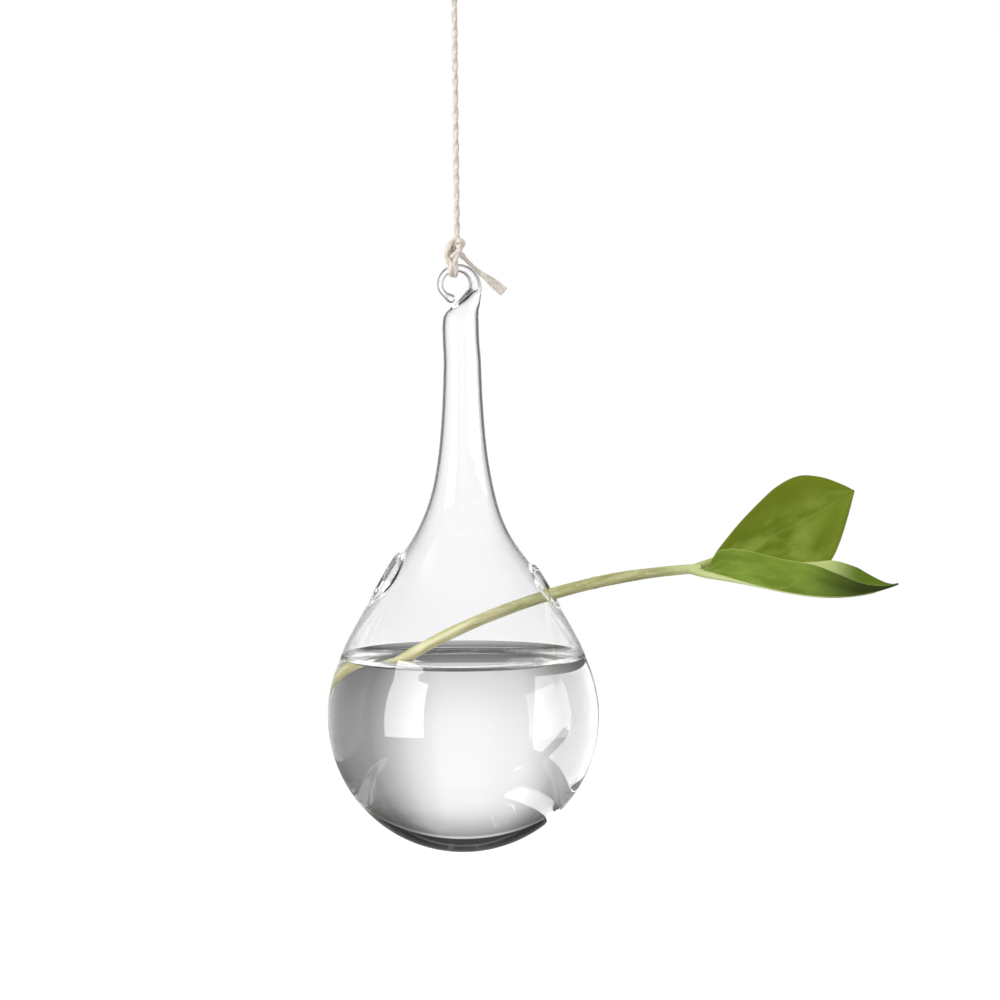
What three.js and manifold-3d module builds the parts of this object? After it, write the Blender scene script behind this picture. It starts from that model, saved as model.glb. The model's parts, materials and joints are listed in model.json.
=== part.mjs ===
// Hanging glass ball vase: a blown teardrop of clear glass with two side mouths and a glass hook,
// tied to a twine, half filled with water and holding a cut sprig with two leaves.
// Millimetres, +Z up, +X to the right and -Y towards the front. The origin is the point where the
// twine's hanging loop bears on whatever holds it up.

import * as THREE from 'three';
import { mergeVertices } from 'three/addons/utils/BufferGeometryUtils.js';
import Module from 'manifold-3d';

const wasm = await Module();
wasm.setup();

// Driving dimensions of the glass. Heights are above the centre of the ball.
const BALL_RADIUS = 40;
const WALL = 1.5;
const FLANK_ANGLE = degrees(26.8); // where the shoulder leaves the ball, up from its equator
const FLANK_BELLY = 19.3; // length of the shoulder's tangent there
const FLANK_TOP = new THREE.Vector2(16.9, 48.8); // radius and height
const NECK_TOP = new THREE.Vector2(5.15, 112);
const NECK_TANGENT = 14; // length of the neck's tangent at the shoulder
const NECK_WAIST = new THREE.Vector2(5.6, 75); // draws the neck's curve in
const NECK_SPLIT = 0.2; // share of the neck's curve that belongs to the bulb

// The two mouths, each with a bead round its hole
const MOUTH_TILT = degrees(31.5); // the mouths face this far up
const LEFT_MOUTH = { azimuth: degrees(184), height: 40.5, outerRadius: 9, beadRadius: 1.4 };
const RIGHT_MOUTH = { azimuth: degrees(-4), height: 38.3, outerRadius: 7.6, beadRadius: 1.2 };
const BEAD_SINK = 0.4; // how far a bead's middle lies inside the glass surface

// The hook: the neck's end drawn into a rod and curled round an eye
const EYE_RADIUS = 3.75;
const EYE_HEIGHT = 127.1;
const ROD_ROOT_RADIUS = 2;
const ROD_THIN_RADIUS = 0.9;
const ROD_TIP_RADIUS = 1.2;
const CURL_START = degrees(-15); // from the right of the eye, anticlockwise
const CURL_THIN = degrees(180);
const CURL_END = degrees(258);
// Centre (sideways, up) and radius of the drawn neck from its top to where the curl starts
const HOOK_ROOT = [
  { x: 0, z: NECK_TOP.y, radius: NECK_TOP.x },
  { x: 0.1, z: 115.4, radius: 5.1 },
  { x: 0.4, z: 117.8, radius: 4.85 },
  { x: 1.05, z: 119.9, radius: 4.2 },
  { x: 2.2, z: 121.7, radius: 3.3 },
  { x: 3.5, z: 123.7, radius: 2.4 },
];
const HOOK_BORE_TOP = 120.5; // the neck's bore closes here
const AXIS_OFFSET = 1.3; // the vase's axis lies this far to the right of the eye

// Water and sprig
const WATER_LEVEL = 17.5;
const STEM_RADIUS = 1.72;
const STEM_BEND = 193; // the stem is one long arc
const STEM_SLOPE = degrees(17); // where it lies on the right rim
const STEM_AT_RIM = new THREE.Vector2(25.1, 35.7);
const STEM_INSIDE = 68; // length from the rim to the cut end in the water
const STEM_OUTSIDE = 46.2; // length from the rim to the leaves
const STEM_SWELL = 0.75; // added radius at the node that carries the leaves
const SPRIG_TURN = degrees(-6.5); // the sprig's plane is turned this far to the front
const SPRIG_BACK = 1; // and lies this far behind the vase's axis
const LEAF_THICKNESS = 0.8;
const LEAF_BLUNTNESS = 0.88; // under 1 rounds a leaf's base and tip

// Twine
const TWINE_RADIUS = 1;
const LOOP_LENGTH = 18; // from the bearing point to the upper knot
const LOOP_HALF_WIDTH = 5;
const UPPER_KNOT = { radius: 2.7, height: 6.4 };
const LOWER_KNOT = { radius: 2.8, height: 6 };
const STRAND_LENGTH = 75.4;
const KNOT_ABOVE_ROD = 2.6; // from the middle of the glass rod to the lower knot
const BIGHT_LEG = 1.4; // how far apart from the middle the bight's legs enter the knot

// Clearances
const GAP = 0.3; // between pieces that touch
const SWING_GAP = 0.6; // between the strand's end and the upper knot
const BIGHT_GAP = 0.35; // between the twine and the glass rod

// Facets
const AROUND = 48;
const NECK_SIDES = 32;
const HOOK_SIDES = 16;
const ROD_SIDES = 12;
const KNOT_SIDES = 16;
const CORD_SIDES = 8;
const CORD_STEP = 2.5 * 2 * TWINE_RADIUS;

// Places that follow from the dimensions
const CURL_TOP_RADIUS = rodRadius(Math.PI / 2);
const ROD_HEIGHT = EYE_HEIGHT + EYE_RADIUS + CURL_TOP_RADIUS; // middle of the rod over the eye
const UPPER_KNOT_TOP = -LOOP_LENGTH;
const UPPER_KNOT_FOOT = UPPER_KNOT_TOP - UPPER_KNOT.height;
const LOWER_KNOT_TOP = UPPER_KNOT_FOOT - SWING_GAP - STRAND_LENGTH - GAP;
const LOWER_KNOT_FOOT = LOWER_KNOT_TOP - LOWER_KNOT.height;
const ROD_Z = LOWER_KNOT_FOOT - KNOT_ABOVE_ROD;
const BALL_Z = ROD_Z - ROD_HEIGHT;

const UP = new THREE.Vector3(0, 0, 1);
const materials = {
  glass: () => surface(0xe4ebea, 0.05, 0.35),
  water: () => surface(0xdfe8ea, 0.02, 0.35),
  twine: () => surface(0xcfc6b2, 0.9),
  stem: () => surface(0xc3c67e, 0.5),
  leaf: () => surface(0x6a8428, 0.45),
};

function degrees(value) {
  return THREE.MathUtils.degToRad(value);
}

function surface(color, roughness, opacity = 1) {
  return new THREE.MeshStandardMaterial({
    color,
    roughness,
    metalness: 0,
    opacity,
    transparent: opacity < 1,
  });
}

function addPart(parent, name, geometry, material) {
  const mesh = new THREE.Mesh(geometry, material);
  mesh.name = name;
  parent.add(mesh);
  return mesh;
}

// Closed surfaces, booleans and sweeps

// Merges shared vertices, drops collapsed triangles and turns the faces outwards.
function closedSurface(geometry) {
  const bare = geometry.clone();
  bare.deleteAttribute('normal');
  bare.deleteAttribute('uv');
  const merged = mergeVertices(bare, 1e-3);
  const position = merged.getAttribute('position');
  const corners = merged.getIndex().array;
  const kept = [];
  let volume = 0;
  const [a, b, c] = [new THREE.Vector3(), new THREE.Vector3(), new THREE.Vector3()];
  for (let i = 0; i < corners.length; i += 3) {
    const [p, q, r] = corners.slice(i, i + 3);
    if (p === q || q === r || r === p) continue;
    kept.push(p, q, r);
    a.fromBufferAttribute(position, p);
    b.fromBufferAttribute(position, q);
    c.fromBufferAttribute(position, r);
    volume += a.dot(b.cross(c));
  }
  if (volume < 0) kept.reverse();
  merged.setIndex(kept);
  return merged;
}

function toSolid(geometry) {
  const closed = closedSurface(geometry);
  return new wasm.Manifold(
    new wasm.Mesh({
      numProp: 3,
      vertProperties: new Float32Array(closed.getAttribute('position').array),
      triVerts: new Uint32Array(closed.getIndex().array),
    }),
  );
}

function cut(geometry, tools) {
  let solid = toSolid(geometry);
  for (const tool of tools) solid = solid.subtract(toSolid(tool));
  const mesh = solid.getMesh();
  const result = new THREE.BufferGeometry();
  result.setAttribute('position', new THREE.BufferAttribute(mesh.vertProperties, 3));
  result.setIndex(new THREE.BufferAttribute(mesh.triVerts, 1));
  return result;
}

// A body of revolution about Z from a profile of (radius, height) points
function turned(profile, segments = AROUND) {
  const geometry = new THREE.LatheGeometry(profile, segments);
  geometry.rotateX(Math.PI / 2);
  return closedSurface(geometry);
}

// A round rod in the XZ plane whose thickness follows a list of stations { x, z, radius }
function planarRod(stations, sides = ROD_SIDES) {
  const vertices = [];
  const index = [];
  const last = stations.length - 1;
  stations.forEach((station, i) => {
    const before = stations[Math.max(i - 1, 0)];
    const after = stations[Math.min(i + 1, last)];
    const along = new THREE.Vector2(after.x - before.x, after.z - before.z).normalize();
    for (let k = 0; k < sides; k += 1) {
      const turn = (2 * Math.PI * k) / sides;
      const aside = station.radius * Math.cos(turn);
      vertices.push(station.x - along.y * aside, station.radius * Math.sin(turn), station.z + along.x * aside);
    }
  });
  for (let i = 0; i < last; i += 1) {
    for (let k = 0; k < sides; k += 1) {
      const a = i * sides + k;
      const b = i * sides + ((k + 1) % sides);
      index.push(a, b, a + sides, b, b + sides, a + sides);
    }
  }
  const end = last * sides;
  for (let k = 1; k < sides - 1; k += 1) {
    index.push(0, k + 1, k);
    index.push(end, end + k, end + k + 1);
  }
  const geometry = new THREE.BufferGeometry();
  geometry.setAttribute('position', new THREE.Float32BufferAttribute(vertices, 3));
  geometry.setIndex(index);
  return closedSurface(geometry);
}

// A length of twine along a smooth curve through the given points
function twineTube(points, radius = TWINE_RADIUS) {
  const path = new THREE.CatmullRomCurve3(points);
  const corners = [];
  for (let k = 0; k < CORD_SIDES; k += 1) {
    const turn = (2 * Math.PI * k) / CORD_SIDES;
    corners.push(new THREE.Vector2(radius * Math.cos(turn), radius * Math.sin(turn)));
  }
  const steps = Math.max(Math.ceil(path.getLength() / CORD_STEP), 2 * (points.length - 1));
  return new THREE.ExtrudeGeometry(new THREE.Shape(corners), { steps, bevelEnabled: false, extrudePath: path });
}

// A knot as a barrel with domed ends, standing on height 0
function knotBody({ radius, height }) {
  const profile = [];
  const steps = 10;
  for (let i = 0; i <= steps; i += 1) {
    const turn = -Math.PI / 2 + (Math.PI * i) / steps;
    const bulge = Math.sqrt(Math.max(Math.cos(turn), 0));
    profile.push(new THREE.Vector2(radius * bulge, (height / 2) * (1 + Math.sin(turn))));
  }
  return turned(profile, KNOT_SIDES);
}

// The glass outline: ball, shoulder and neck as (radius, height) curves

const flankStart = new THREE.Vector2(Math.cos(FLANK_ANGLE), Math.sin(FLANK_ANGLE)).multiplyScalar(BALL_RADIUS);
const flankControl = new THREE.Vector2(-Math.sin(FLANK_ANGLE), Math.cos(FLANK_ANGLE))
  .multiplyScalar(FLANK_BELLY)
  .add(flankStart);
const flank = new THREE.QuadraticBezierCurve(flankStart, flankControl, FLANK_TOP);
const neckControl = FLANK_TOP.clone().sub(flankControl).setLength(NECK_TANGENT).add(FLANK_TOP);
const neck = new THREE.CubicBezierCurve(FLANK_TOP, neckControl, NECK_WAIST, NECK_TOP);

// Points of a curve from one share of its length to another, moved inwards by the inset
function insetPoints(curve, from, to, steps, inset) {
  const points = [];
  for (let i = 0; i <= steps; i += 1) {
    const share = from + ((to - from) * i) / steps;
    const along = curve.getTangentAt(share);
    const point = curve.getPointAt(share);
    points.push(new THREE.Vector2(point.x - inset * along.y, point.y + inset * along.x));
  }
  return points;
}

// The ball's arc from its bottom up to an angle above the equator
function ballArc(radius, topAngle, steps) {
  const points = [];
  for (let i = 0; i <= steps; i += 1) {
    const turn = -Math.PI / 2 + ((topAngle + Math.PI / 2) * i) / steps;
    points.push(new THREE.Vector2(i === 0 ? 0 : radius * Math.cos(turn), radius * Math.sin(turn)));
  }
  return points;
}

function bulbSide(inset) {
  return [
    ...ballArc(BALL_RADIUS - inset, FLANK_ANGLE, 13),
    ...insetPoints(flank, 0, 1, 4, inset).slice(1),
    ...insetPoints(neck, 0, NECK_SPLIT, 2, inset).slice(1),
  ];
}

function neckSide(inset) {
  return insetPoints(neck, NECK_SPLIT + GAP / neck.getLength(), 1, 9, inset);
}

function flankRadius(height) {
  let share = 0;
  for (let step = 0.5; step > 1e-6; step /= 2) {
    if (flank.getPoint(share + step).y <= height) share += step;
  }
  return flank.getPoint(share).x;
}

// A mouth's own frame: its origin in the middle of the bead and its Z axis out of the glass
function mouthFrame(mouth) {
  const round = new THREE.Vector3(Math.cos(mouth.azimuth), Math.sin(mouth.azimuth), 0);
  const out = round.clone().multiplyScalar(Math.cos(MOUTH_TILT)).addScaledVector(UP, Math.sin(MOUTH_TILT));
  const centre = round.multiplyScalar(flankRadius(mouth.height)).addScaledVector(UP, mouth.height);
  centre.addScaledVector(out, -BEAD_SINK);
  const turn = new THREE.Quaternion().setFromUnitVectors(UP, out);
  return new THREE.Matrix4().compose(centre, turn, new THREE.Vector3(1, 1, 1));
}

function mouthHole(mouth) {
  const radius = mouth.outerRadius + GAP;
  const hole = new THREE.CylinderGeometry(radius, radius, BALL_RADIUS / 2, AROUND);
  hole.rotateX(Math.PI / 2);
  return hole.applyMatrix4(mouthFrame(mouth));
}

function mouthRim(mouth) {
  const rim = new THREE.TorusGeometry(mouth.outerRadius - mouth.beadRadius, mouth.beadRadius, 10, 36);
  return rim.applyMatrix4(mouthFrame(mouth));
}

function glassBulb() {
  const profile = [...bulbSide(0), ...bulbSide(WALL).reverse()];
  return cut(turned(profile), [mouthHole(LEFT_MOUTH), mouthHole(RIGHT_MOUTH)]);
}

function glassNeck() {
  const outside = neckSide(0);
  return turned([...outside, ...neckSide(WALL).reverse(), outside[0].clone()], NECK_SIDES);
}

// The hook's rod tapers from its root to the left of the eye and thickens again at the tip
function rodRadius(turn) {
  if (turn > CURL_THIN) {
    const share = (turn - CURL_THIN) / (CURL_END - CURL_THIN);
    return THREE.MathUtils.lerp(ROD_THIN_RADIUS, ROD_TIP_RADIUS, share);
  }
  const left = (CURL_THIN - turn) / (CURL_THIN - CURL_START);
  return ROD_THIN_RADIUS + (ROD_ROOT_RADIUS - ROD_THIN_RADIUS) * left * left;
}

// Stations along the hook: the drawn neck, the curl round the eye and the round tip
function hookStations() {
  const stations = HOOK_ROOT.map((root) => ({ ...root }));
  stations[0].z += GAP;
  const steps = 26;
  for (let i = 0; i <= steps; i += 1) {
    const turn = CURL_START + ((CURL_END - CURL_START) * i) / steps;
    const radius = rodRadius(turn);
    const reach = EYE_RADIUS + radius;
    stations.push({ x: reach * Math.cos(turn) - AXIS_OFFSET, z: EYE_HEIGHT + reach * Math.sin(turn), radius });
  }
  const tipReach = EYE_RADIUS + ROD_TIP_RADIUS;
  for (const share of [0.5, 0.85, 1]) {
    const turn = CURL_END + (share * ROD_TIP_RADIUS) / tipReach;
    const radius = Math.max(ROD_TIP_RADIUS * Math.sqrt(1 - share * share), 0.1);
    stations.push({ x: tipReach * Math.cos(turn) - AXIS_OFFSET, z: EYE_HEIGHT + tipReach * Math.sin(turn), radius });
  }
  return stations;
}

function hangingHook() {
  const boreFoot = { x: 0, z: NECK_TOP.y - WALL, radius: NECK_TOP.x - WALL };
  const boreMiddle = { x: HOOK_ROOT[1].x, z: HOOK_ROOT[1].z, radius: HOOK_ROOT[1].radius - WALL };
  const boreTop = { x: HOOK_ROOT[2].x, z: HOOK_BORE_TOP, radius: WALL / 2 };
  return cut(planarRod(hookStations(), HOOK_SIDES), [planarRod([boreFoot, boreMiddle, boreTop])]);
}

// Water and sprig

// A point of the stem's centre line at a length outwards from the right rim
function stemPoint(length) {
  const slope = STEM_SLOPE - length / STEM_BEND;
  return {
    x: STEM_AT_RIM.x + STEM_BEND * (Math.sin(STEM_SLOPE) - Math.sin(slope)),
    z: STEM_AT_RIM.y + STEM_BEND * (Math.cos(slope) - Math.cos(STEM_SLOPE)),
  };
}

// The stem as a rod, grown on all sides by a clearance
function stemRod(clearance) {
  const stations = [];
  const steps = 28;
  const from = -STEM_INSIDE - clearance;
  for (let i = 0; i <= steps; i += 1) {
    const length = from + ((STEM_OUTSIDE - from) * i) / steps;
    const swell = STEM_SWELL * THREE.MathUtils.smoothstep(length, 0.8 * STEM_OUTSIDE, STEM_OUTSIDE);
    stations.push({ ...stemPoint(length), radius: STEM_RADIUS + swell + clearance });
  }
  return planarRod(stations);
}

function intoSprigPlane(object) {
  return object.rotateZ(SPRIG_TURN).translate(0, SPRIG_BACK, 0);
}

function waterFill() {
  const radius = BALL_RADIUS - WALL - GAP;
  const profile = ballArc(radius, Math.asin(WATER_LEVEL / radius), 11);
  profile.push(new THREE.Vector2(0, WATER_LEVEL));
  return cut(turned(profile), [intoSprigPlane(stemRod(GAP))]);
}

// How wide one side of a leaf is along its length. A larger fullness puts the widest place nearer the tip.
function leafWidth(side, share) {
  return side.width * Math.sin(Math.PI * share ** side.fullness) ** LEAF_BLUNTNESS;
}

// A leaf as a thin shell folded along its midrib, with a side on each hand that points from the midrib
// to the margin. The cup bends both sides as they go outwards.
function leafSolid({ midrib, sides, cup }) {
  const rows = 18;
  const columns = 8;
  const ridge = new THREE.QuadraticBezierCurve3(...midrib);
  const grid = [];
  for (let i = 0; i <= rows; i += 1) {
    const share = 0.02 + (0.97 * i) / rows;
    for (let k = 0; k <= columns; k += 1) {
      const across = (2 * k) / columns - 1;
      const side = sides[across < 0 ? 0 : 1];
      const reach = Math.abs(across) * leafWidth(side, share);
      const point = ridge.getPoint(share).addScaledVector(side.towards, reach);
      grid.push(point.addScaledVector(cup, reach * Math.abs(across)));
    }
  }
  return thickened(grid, rows, columns, LEAF_THICKNESS);
}

// A closed shell round a grid of points, half of its thickness on each side
function thickened(grid, rows, columns, thickness) {
  const width = columns + 1;
  const count = grid.length;
  const faces = [[], []];
  const vertices = [];
  const at = (i, k) => grid[THREE.MathUtils.clamp(i, 0, rows) * width + THREE.MathUtils.clamp(k, 0, columns)];
  for (const side of [1, -1]) {
    for (let i = 0; i <= rows; i += 1) {
      for (let k = 0; k <= columns; k += 1) {
        const along = at(i + 1, k).clone().sub(at(i - 1, k));
        const across = at(i, k + 1).clone().sub(at(i, k - 1));
        const normal = along.cross(across).setLength((side * thickness) / 2);
        vertices.push(...at(i, k).clone().add(normal).toArray());
      }
    }
  }
  for (let i = 0; i < rows; i += 1) {
    for (let k = 0; k < columns; k += 1) {
      const a = i * width + k;
      const [b, c, d] = [a + 1, a + width, a + width + 1];
      faces[0].push(a, c, b, b, c, d);
      faces[1].push(a + count, b + count, c + count, b + count, d + count, c + count);
    }
  }
  const rim = [];
  for (let k = 0; k < columns; k += 1) rim.push(k);
  for (let i = 0; i < rows; i += 1) rim.push(i * width + columns);
  for (let k = columns; k > 0; k -= 1) rim.push(rows * width + k);
  for (let i = rows; i > 0; i -= 1) rim.push(i * width);
  const edge = rim.flatMap((a, i) => {
    const b = rim[(i + 1) % rim.length];
    return [a, b, a + count, b, b + count, a + count];
  });
  const geometry = new THREE.BufferGeometry();
  geometry.setAttribute('position', new THREE.Float32BufferAttribute(vertices, 3));
  geometry.setIndex([...faces[0], ...faces[1], ...edge]);
  return closedSurface(geometry);
}

function uprightLeaf() {
  return leafSolid({
    midrib: [
      new THREE.Vector3(69.8, 0.9, 44.7),
      new THREE.Vector3(94.1, 6, 52.4),
      new THREE.Vector3(115.3, 7, 65.9),
    ],
    sides: [
      { towards: new THREE.Vector3(-0.45, 0.1, 0.89), width: 12.2, fullness: 1.4 },
      { towards: new THREE.Vector3(0.42, -0.15, -0.89), width: 14, fullness: 1.45 },
    ],
    cup: new THREE.Vector3(0, -0.08, 0),
  });
}

function foldedLeaf() {
  return leafSolid({
    midrib: [
      new THREE.Vector3(70, -1.3, 42.4),
      new THREE.Vector3(101.3, -7, 30.6),
      new THREE.Vector3(128.6, -9, 38.9),
    ],
    sides: [
      { towards: new THREE.Vector3(0, -0.55, 0.84), width: 13, fullness: 0.6 },
      { towards: new THREE.Vector3(0, 0.15, 0.98), width: 11, fullness: 1.2 },
    ],
    cup: new THREE.Vector3(0, 0, 0.03),
  });
}

function buildSprig(vase) {
  const sprig = new THREE.Group();
  sprig.rotation.z = SPRIG_TURN;
  sprig.position.y = SPRIG_BACK;
  vase.add(sprig);
  addPart(sprig, 'sprig_stem', stemRod(0), materials.stem());
  addPart(sprig, 'upright_leaf', uprightLeaf(), materials.leaf());
  addPart(sprig, 'folded_leaf', foldedLeaf(), materials.leaf());
}

function buildVase(object) {
  const vase = new THREE.Group();
  vase.position.set(AXIS_OFFSET, 0, BALL_Z);
  object.add(vase);
  addPart(vase, 'glass_bulb', glassBulb(), materials.glass());
  addPart(vase, 'glass_neck', glassNeck(), materials.glass());
  addPart(vase, 'hanging_hook', hangingHook(), materials.glass());
  addPart(vase, 'left_mouth_rim', mouthRim(LEFT_MOUTH), materials.glass());
  addPart(vase, 'right_mouth_rim', mouthRim(RIGHT_MOUTH), materials.glass());
  addPart(vase, 'water_fill', waterFill(), materials.water());
  buildSprig(vase);
}

// The loop that hangs on a nail or a hook, from the upper knot round and back to it
function hangingLoop() {
  const foot = UPPER_KNOT_TOP + GAP;
  const legs = 0.5 * UPPER_KNOT.radius + 0.1;
  const top = TWINE_RADIUS;
  return twineTube([
    new THREE.Vector3(-legs, 0, foot),
    new THREE.Vector3(-0.62 * LOOP_HALF_WIDTH, 0, 0.68 * foot),
    new THREE.Vector3(-LOOP_HALF_WIDTH, 0, 0.3 * foot),
    new THREE.Vector3(-0.66 * LOOP_HALF_WIDTH, 0, 0.04 * foot),
    new THREE.Vector3(0, 0, top),
    new THREE.Vector3(0.66 * LOOP_HALF_WIDTH, 0, 0.04 * foot),
    new THREE.Vector3(LOOP_HALF_WIDTH, 0, 0.3 * foot),
    new THREE.Vector3(0.62 * LOOP_HALF_WIDTH, 0, 0.68 * foot),
    new THREE.Vector3(legs, 0, foot),
  ]);
}

// The short cut end that hangs from the upper knot, in front of the strand
function upperTail() {
  const root = UPPER_KNOT_FOOT + 0.45 * UPPER_KNOT.height;
  return twineTube([
    new THREE.Vector3(-2.2, -3.2, root),
    new THREE.Vector3(-3.4, -3.8, root - 2.4),
    new THREE.Vector3(-4, -3.7, root - 5.4),
    new THREE.Vector3(-4.4, -3.5, root - 8.6),
  ]);
}

function twineStrand() {
  const top = UPPER_KNOT_FOOT - SWING_GAP;
  const straight = [];
  const points = 5;
  for (let i = 0; i < points; i += 1) {
    straight.push(new THREE.Vector3(0, 0, top - (STRAND_LENGTH * i) / (points - 1)));
  }
  return twineTube(straight);
}

// The bight passes under the glass rod and both its legs go up into the lower knot
function hookBight() {
  const reach = CURL_TOP_RADIUS + BIGHT_GAP + TWINE_RADIUS;
  const legTop = LOWER_KNOT_FOOT - GAP;
  const points = [new THREE.Vector3(0, -BIGHT_LEG, legTop)];
  const steps = 8;
  for (let i = 0; i <= steps; i += 1) {
    const turn = Math.PI + (Math.PI * i) / steps;
    points.push(new THREE.Vector3(0, reach * Math.cos(turn), ROD_Z + reach * Math.sin(turn)));
  }
  points.push(new THREE.Vector3(0, BIGHT_LEG, legTop));
  return twineTube(points);
}

// The frayed end runs from the lower knot down to the right, behind the hook's shoulder
function twineTail() {
  return twineTube([
    new THREE.Vector3(3.5, 1.6, ROD_Z + 3.6),
    new THREE.Vector3(6, 3.3, ROD_Z + 0.5),
    new THREE.Vector3(9.3, 4.5, ROD_Z - 3.2),
    new THREE.Vector3(13.7, 5.2, ROD_Z - 7),
  ]);
}

function buildTwine(object) {
  addPart(object, 'hanging_loop', hangingLoop(), materials.twine());
  const upper = addPart(object, 'upper_knot', knotBody(UPPER_KNOT), materials.twine());
  upper.position.z = UPPER_KNOT_FOOT;
  addPart(object, 'upper_tail', upperTail(), materials.twine());
  addPart(object, 'twine_strand', twineStrand(), materials.twine());
  const lower = addPart(object, 'lower_knot', knotBody(LOWER_KNOT), materials.twine());
  lower.position.z = LOWER_KNOT_FOOT;
  addPart(object, 'hook_bight', hookBight(), materials.twine());
  addPart(object, 'twine_tail', twineTail(), materials.twine());
}

const hangingVase = new THREE.Group();
buildTwine(hangingVase);
buildVase(hangingVase);

export default hangingVase;
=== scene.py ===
"""Looks of the hanging glass ball vase: blown glass, water, a cut sprig and twine.

Lengths are millimetres in the part's frame, and add_piece turns them into metres. The stage is in metres.
A pair of numbers that is named for a change says where it starts and where it ends.
"""
import json
import math
from functools import partial
from itertools import repeat

import bmesh
import bpy
import numpy as np
from mathutils import Matrix, Vector


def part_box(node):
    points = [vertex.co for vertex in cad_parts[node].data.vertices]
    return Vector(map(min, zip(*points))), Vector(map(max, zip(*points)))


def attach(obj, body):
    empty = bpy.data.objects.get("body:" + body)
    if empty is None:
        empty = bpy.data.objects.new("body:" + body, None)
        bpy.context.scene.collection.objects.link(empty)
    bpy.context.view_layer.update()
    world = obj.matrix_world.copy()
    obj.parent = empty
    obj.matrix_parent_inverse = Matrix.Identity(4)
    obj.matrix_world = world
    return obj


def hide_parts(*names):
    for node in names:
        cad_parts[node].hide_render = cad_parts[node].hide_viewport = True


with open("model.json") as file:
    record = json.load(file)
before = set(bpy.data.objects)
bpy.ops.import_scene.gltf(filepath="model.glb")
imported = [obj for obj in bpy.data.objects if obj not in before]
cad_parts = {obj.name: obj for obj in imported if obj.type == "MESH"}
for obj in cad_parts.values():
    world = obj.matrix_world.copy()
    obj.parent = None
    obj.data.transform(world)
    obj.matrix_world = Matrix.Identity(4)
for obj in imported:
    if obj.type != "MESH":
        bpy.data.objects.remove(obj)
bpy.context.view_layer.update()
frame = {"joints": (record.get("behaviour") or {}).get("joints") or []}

MM = 0.001
UP = np.array([0.0, 0.0, 1.0])
BACK = np.array([0.0, 1.0, 0.0])
# A direction that no path sets out in.
UNUSED_WAY = np.array([0.3, 1.0, 0.2])


def node_box(name):
    """The lowest and the highest corner of a CAD node."""
    low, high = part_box(name)
    return np.array(low) / MM, np.array(high) / MM


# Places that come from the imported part.
joints = {joint["name"]: joint for joint in frame["joints"]}
bulb_low, bulb_high = node_box("glass_bulb")
BALL_RADIUS = (bulb_high[0] - bulb_low[0]) / 2
VASE = np.array([bulb_low[0] + BALL_RADIUS, 0, bulb_low[2] + BALL_RADIUS])
ROD = np.array(joints["vase_swing"]["pos_m"]) / MM
SPRIG_BACKWARD = np.array(joints["sprig_draw"]["axis"])
SPRIG_FORWARD = np.cross(SPRIG_BACKWARD, UP)
STRAND_LOW, STRAND_HIGH = node_box("twine_strand")
KNOT_LOW, KNOT_HIGH = node_box("upper_knot")
KNOT_MIDDLE = (KNOT_LOW[2] + KNOT_HIGH[2]) / 2
# The CAD water ends this far above the level, at the middle of the climb up the wall.
CAD_CLIMB = 1.4
WATER_LEVEL = node_box("water_fill")[1][2] - VASE[2] - CAD_CLIMB

# Glass, with heights above the middle of the ball.
WALL = 1.5
FLANK_WALL = 0.28
FLANK_THINS = 2, 16
NECK_WALL = 0.7
NECK_THICKENS = 35, 60
FLANK_ANGLE = math.radians(26.8)
FLANK_BELLY = 19.3
FLANK_TOP = np.array([16.9, 48.8])
NECK_TANGENT = 14
NECK_WAIST = np.array([5.6, 75])
NECK_TOP = np.array([5.15, 112])
NECK_LEAN = 0.4
NECK_LEANS = 52, 70
NECK_RIGHTS = 112, 104
# How much fuller the glass is than its curves, and how much more the flank is.
FULLER = 0.2
FULLER_FROM = 15, 22
FLANK_FULLER = 0.42
FLANK_FULLER_TO = 48, 30
GLASS_AROUND = 192
# The second material of the glass and of the water is for where they touch.
TOUCHING = 1

# Hook, with degrees round its eye.
EYE_RADIUS = 3.75
EYE_HEIGHT = 127.1
ROD_ROOT = 2
ROD_THIN = 0.9
ROD_TIP = 1.3
CURL_START = -15
CURL_THIN = 180
CURL_TURNS_IN = 190
CURL_END = 250
CURL_INWARD = 0.7
TIP_SWELLS = 0.45, 1
# Left and right edge of the hook's root as x and height, from the neck to the curl.
HOOK_EDGES = [
    (-5.35, 112, 5.35, 112),
    (-5.35, 115.4, 5.3, 115.2),
    (-4.75, 118.3, 5.25, 117.7),
    (-2.6, 120.6, 5.45, 119.9),
    (-0.5, 122.6, 5.95, 121.9),
    (1.2, 124.5, 6.2, 123.9),
]
ROOT_STEPS = 6
ROOT_AIM = 6
# The neck's bore inside the root, with shares of its length and the left wall's share of its closing.
BORE_REACH = 6
BORE_SLANT = 1.3
BORE_SLANTS = 0.28, 0.75
BORE_CLOSES = 0.72, 1
BORE_TIP = 0.1
BORE_LEFT = 0.6

# Mouths. A bead's side is round up to a share of its width, and then straight.
MOUTH_TILT = math.radians(31.5)
LEFT_MOUTH = {"azimuth": math.radians(184), "height": 41.1, "outer": 9.0, "bead": 0.95, "phase": 0.6}
RIGHT_MOUTH = {"azimuth": math.radians(-4), "height": 38.3, "outer": 7.6, "bead": 0.85, "phase": 2.1}
MOUTH_MARGIN = 3.6
MOUTH_ROWS = 16
MOUTH_CROWDING = 1.5
BEAD_SINK = 0.4
BEAD_UNEVEN = 0.07
BEAD_LIFT = 0.15
BEAD_ROUND = 0.85
RING_UNEVEN = 0.02
SEARCH_REACH = 9.0
SEARCH_STEPS = 40

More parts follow.
